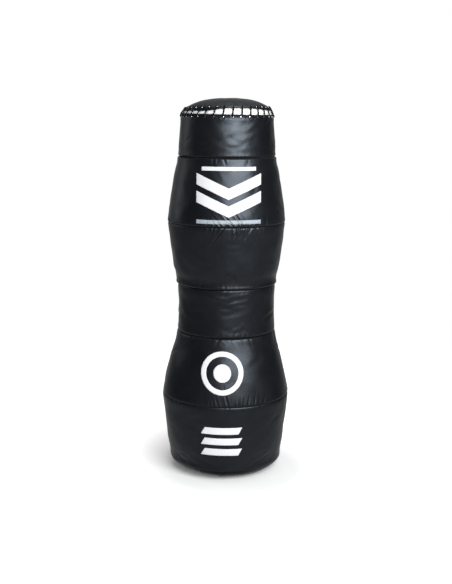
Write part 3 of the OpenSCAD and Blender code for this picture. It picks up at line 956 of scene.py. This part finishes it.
def inner_strip():
    """A band of white leather that stands inside the collar and leans in under the lid's rim."""
    share = np.linspace(0, 1, 26)[:, None]
    angles = COLUMNS[None, :]
    foot, edge, rim_z = low("inner_strip"), COLLAR_TOP, rim_height(COLUMNS)[None, :]
    below = foot + (edge - foot) * share[:14] / share[13]
    above = edge + (rim_z + UNDER_LID - edge) * (share[13:] - share[13]) / (1 - share[13])
    heights = np.concatenate([below + 0 * angles, above[1:]])
    rise = np.clip((heights - edge) / (rim_z + UNDER_LID - edge), 0, 1)
    radii = STRIP_R + 2.2 * MM * bell(rise - 0.35, 0.3) - 12.5 * MM * rise**2.6
    soft = lumps(angles, heights, 0.5 * MM, seed=61)
    folds = 0 * angles * heights
    for place in (collar_at + lid_at) / 2:
        folds -= 1.5 * MM * bell(wrapped(angles - angle_of(place)) * FOLD_R, 3.0 * MM)
    showing = bell(heights - (edge + rim_z) / 2, 14 * MM)
    radii = radii + np.minimum(soft, 0.3 * MM) + folds * showing
    outer = turned_points(radii, heights, angles)
    inner = turned_points(radii - 1.6 * MM, heights - 0.5 * MM, angles)[::-1]
    rows = np.concatenate([outer, inner, outer[:1]])
    piece = new_mesh("inner_strip", rows.reshape(-1, 3), grid_faces(len(rows), AROUND, True), WHITE_LEATHER)
    merge_points(piece)
    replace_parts(piece, "inner_strip")
    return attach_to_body(piece, "torso")


# Inner pieces: foam, filling and seam tapes

INSIDE = 120  # columns of a piece that the cover hides
SKIN = 4.6 * MM  # room for the leather and its rolled seams
BASE_SKIN = 8.8 * MM  # more of it at the base, because the leather's corner is drawn in
FOAM_T = 9 * MM
CORE = SKIN + FOAM_T + 0.8 * MM
GAP = 2 * MM  # from a foam wrap's edge to the seam beside it


def hidden_turn(node, outline, material, carrier, seed, size=0.0, half=""):
    """A closed turned piece inside the cover, from a closed outline of radius and height."""
    line = np.array(outline, float)
    angles = even_turn(INSIDE)[None, :]
    radii = line[:, :1] + lumps(angles, line[:, 1:], size, seed=seed) * (line[:, :1] > 0.02)
    rows = turned_points(radii, line[:, 1:], angles)
    rows = np.concatenate([rows, rows[:1]])
    piece = new_mesh(node + half, rows.reshape(-1, 3), grid_faces(len(rows), INSIDE, True), material)
    merge_points(piece)
    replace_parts(piece, node)
    return attach(piece, carrier)


def wall_of(part, inset, start, end, count):
    """Points up a band's line between two heights, moved inwards."""
    line = band_named[part + "_band"].line
    return [(np.interp(z, line[:, 1], line[:, 0]) - inset, z) for z in np.linspace(start, end, count)]


def foam_wrap(part, start, end, carrier, seed, half="", inset=SKIN):
    """The foam behind one band, or behind its lower or upper half."""
    outline = wall_of(part, inset, start, end, 14) + wall_of(part, SKIN + FOAM_T, start, end, 14)[::-1]
    hidden_turn(part + "_foam_wrap", outline, FOAM, carrier, seed, 0.4 * MM, half)


foam_wrap("base", CORNER_H, HIP_SEAM - GAP, "hips", 71, inset=BASE_SKIN)
foam_wrap("hip", HIP_SEAM + GAP, WAIST_LOW - GAP, HIP_BEND, 72)
foam_wrap("waist", WAIST_LOW + GAP, WAIST_MID, HIP_BEND, 73, "_lower")
foam_wrap("waist", WAIST_MID, WAIST_TOP - GAP, TORSO_BEND, 74, "_upper")
foam_wrap("belly", WAIST_TOP + GAP, CHEST_SEAM - GAP, TORSO_BEND, 75)
foam_wrap("chest", CHEST_SEAM + GAP, HEAD_SEAM - GAP, "torso", 76)
foam_wrap("head", HEAD_SEAM + GAP, high("head_foam_wrap"), "torso", 77)


def filling(node, points, carrier, size, seed, half=""):
    """Textile filling: a solid from the axis out to points that run up its side."""
    bottom, top = points[0][1], points[-1][1]
    inward = [(0, top), (0, bottom), (0.03, bottom), (points[0][0] * 0.7, bottom)]
    hidden_turn(node, points + inward, FILLING, carrier, seed, size, half)


filling("lower_filling", wall_of("base", CORE, CORNER_H + MM, HIP_SEAM, 14)[:-1]
        + wall_of("hip", CORE, HIP_SEAM, WAIST_LOW, 16), HIP_BEND, 1.2 * MM, 81)
for ends, carrier, seed, half in (((WAIST_LOW, WAIST_MID), HIP_BEND, 82, "_lower"),
                                  ((WAIST_MID, WAIST_TOP), TORSO_BEND, 83, "_upper")):
    filling("waist_filling", wall_of("waist", CORE, *ends, 8), carrier, 0.8 * MM, seed, half)
collar_filling = [(STRIP_R - inset * MM, COLLAR_TOP + up * MM)
                  for inset, up in ((5.2, -41), (5.2, -9), (12.2, 3), (27.2, 10), (59.2, 12))]
filling("upper_filling", wall_of("belly", CORE, WAIST_TOP, CHEST_SEAM, 14)[:-1]
        + wall_of("chest", CORE, CHEST_SEAM, HEAD_SEAM, 14)[:-1]
        + wall_of("head", CORE, HEAD_SEAM, low("inner_strip"), 8) + collar_filling, TORSO_BEND, MM, 84)

base_pad = ([(0, SKIN), (0.06, SKIN)] + base_corner(BASE_WALL[0][0] - BASE_SKIN, BASE_SKIN, 12)
            + [(0.08, CORNER_H), (0, CORNER_H)])
hidden_turn("base_pad", base_pad, FOAM, "hips", 85)


def seam_tape(node, part, z, carrier):
    """A folded tape behind the seam at the foot of a band."""
    section = [(6.0, -1.4), (6.6, 0), (6.0, 1.4), (11.5, 1.5), (12.3, 0), (11.5, -1.5)]
    seam_r = band_named[part + "_band"].line[0, 0]
    outline = [(seam_r - inset * MM, z + up * MM) for inset, up in section]
    hidden_turn(node, outline, TAPE, carrier, 90, size=0.25 * MM)


seam_tape("hip_seam_tape", "hip", HIP_SEAM, "hips")
seam_tape("waist_low_seam_tape", "waist", WAIST_LOW, HIP_BEND)
seam_tape("waist_top_seam_tape", "belly", WAIST_TOP, TORSO_BEND)
seam_tape("chest_seam_tape", "chest", CHEST_SEAM, "torso")
seam_tape("head_seam_tape", "head", HEAD_SEAM, "torso")

inner_strip()

PAD_LOW, PAD_INSET = 14 * MM, 3 * MM
pad_dome = [(dome(LID_R - SKIN, up) - MM, up - PAD_INSET)
            for up in PAD_LOW + PAD_INSET + (LID_RISE - PAD_LOW - PAD_INSET) * np.linspace(0, 1, 14) ** 0.6]
lid_pad_line = [(0, PAD_LOW), (0.08, PAD_LOW)] + pad_dome[:-1] + [(0, LID_RISE - PAD_INSET)]
lid_pad = hidden_turn("lid_pad", lid_pad_line, FOAM, "lid", 86)
lid_pad.data.transform(Matrix.Translation(Vector(LID_CENTRE)) @ LID_TILT.to_4x4())


# Floor, light and camera

FLOOR_R = 1.9


def painted_glow_floor():
    """A pale disc with a painted glow: strong away from the dummy and weak near its base, which is painted
    shade there beside its real soft shadow.
    """
    mesh = bpy.data.meshes.new("floor")
    edge = [(FLOOR_R * math.cos(a), FLOOR_R * math.sin(a), 0) for a in even_turn(96)]
    mesh.from_pydata(edge, [], [list(range(len(edge)))])
    floor = in_scene("floor", mesh)
    material, tree, shader = new_material("painted_glow_floor")
    # Painted glow by distance from a point just in front of the base. It is weakest there, a painted shade
    # offset towards the front.
    away = add(tree, "VectorMath", operation="DISTANCE", Vector=object_place(tree))
    away.inputs[1].default_value = (0.03, -0.05, 0)
    feed(tree, shader, Base_Color=(0.71, 0.71, 0.705, 1), Roughness=0.9, Specular_IOR_Level=0.1,
         Emission_Strength=remap(tree, away.outputs["Value"], 0.14, 0.8, 0.2, 0.5),
         Emission_Color=(1, 1, 1, 1))
    mesh.materials.append(material)
    floor.visible_glossy = False


def area_light(name, place, target, width, height, power, colour=(1, 1, 1)):
    light = bpy.data.lights.new(name, "AREA")
    light.shape, light.size, light.size_y = "RECTANGLE", width, height
    light.energy, light.color = power, colour
    lamp = in_scene(name, light)
    lamp.location = place
    lamp.rotation_euler = (Vector(target) - Vector(place)).to_track_quat("-Z", "Y").to_euler()


def overhead_light():
    """Soft light from above, by a sun as wide as an overcast sky."""
    sun = bpy.data.lights.new("overhead", "SUN")
    sun.energy, sun.angle = 1, math.radians(70)
    in_scene("overhead", sun).rotation_euler = (math.radians(-6), math.radians(4), 0)


def studio_world():
    """White to the camera. The leather sees a dim room, a lit floor, and a backdrop at +Y."""
    world = bpy.data.worlds.new("studio")
    bpy.context.scene.world = world
    world.use_nodes = True
    sky = world.node_tree
    way = add(sky, "SeparateXYZ", Vector=add(sky, "TexCoord").outputs["Generated"])
    up = way.outputs["Z"]
    backdrop = remap(sky, way.outputs["Y"], 0.012, remap(sky, up, 0.05, 0.45, -0.44, -0.36), 0.6, 0.9)
    stops = [(0.0, (0.04,)), (0.10, (0.12,)), (0.25, (0.46,)), (0.36, (0.58,)), (0.85, (0.0,))]
    ground = ramp(sky, remap(sky, up, 0.0, 1.0, -1.0, 0.0), stops)
    around = joined(sky, "ADD", backdrop, ground)
    camera_ray = add(sky, "LightPath").outputs["Is Camera Ray"]
    strength = remap(sky, camera_ray, around, 1.0, 0.0, 1.0)
    feed(sky, sky.nodes["Background"], Color=(1, 1, 1, 1), Strength=strength)


def studio_camera():
    """The photo's view: a little above the dummy's head, looking down at it from the front."""
    optics = bpy.data.cameras.new("camera")
    optics.sensor_width, optics.lens = 36, 57.96
    camera = in_scene("camera", optics)
    pitch, roll = math.radians(90 - 10.84), math.radians(0.4)
    camera.matrix_world = (Matrix.Translation((0, -3.0, 1.158)) @ Matrix.Rotation(pitch, 4, "X")
                           @ Matrix.Rotation(roll, 4, "Z"))
    bpy.context.scene.camera = camera


painted_glow_floor()
overhead_light()
area_light("right_softbox", (1.02, -2.36, 1.85), (0, 0, 0.8), 2.3, 1.7, 160, (0.98, 0.99, 1.0))
area_light("left_card", (-2.4, 0.9, 1.4), (0, 0, 1.0), 0.9, 1.5, 5)
studio_world()
studio_camera()
bpy.context.scene.view_settings.view_transform = "Standard"
